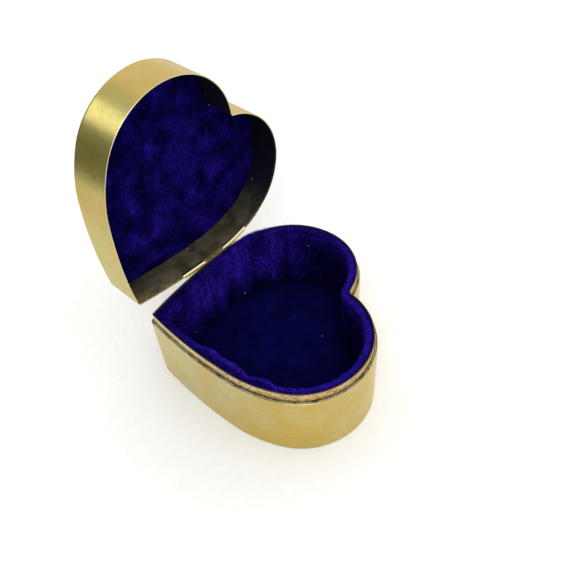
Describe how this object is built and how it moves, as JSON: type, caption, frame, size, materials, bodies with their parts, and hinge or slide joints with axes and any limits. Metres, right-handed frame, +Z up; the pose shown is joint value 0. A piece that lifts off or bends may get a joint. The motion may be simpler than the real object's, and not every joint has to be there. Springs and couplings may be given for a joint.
{
  "type": "heart-shaped trinket box",
  "caption": "Heart-shaped brass trinket box with a velvet lining and a lid hinged on one side, standing open.",
  "frame": {"origin": "centre of the heart (halfway between its point and the tops of its lobes) on the underside of the floor plate", "axes": "+Z up, the heart's point towards -Y and its cleft towards +Y, the hinge on the -X flank; rest is with the lid open"},
  "size_m": [0.1362, 0.1177, 0.1362],
  "materials": {
    "brass": "satin",
    "aged_brass": "tarnished satin",
    "velvet": "plush velvet",
    "card": "matte",
    "wadding": "soft"
  },
  "bodies": {
    "base": {"base_floor_plate": "brass", "base_wall": "brass", "inner_collar": "aged_brass", "base_hinge_leaf": "brass", "hinge_pin": "brass", "wall_lining_card": "card", "wall_lining_wadding": "wadding", "wall_lining_velvet": "velvet", "floor_lining_card": "card", "floor_lining_wadding": "wadding", "floor_lining_velvet": "velvet"},
    "lid": {"lid_top_plate": "brass", "lid_wall": "brass", "lid_hinge_leaf": "brass", "lid_lining_card": "card", "lid_lining_wadding": "wadding", "lid_lining_velvet": "velvet"}
  },
  "joints": [
    {"name": "lid_hinge", "type": "hinge", "parent": "base", "child": "lid", "pos_m": [-0.03799, -0.01925, 0.0349], "axis": [-0.6909, 0.723, 0], "range_deg": [0, 86.2]}
  ]
}
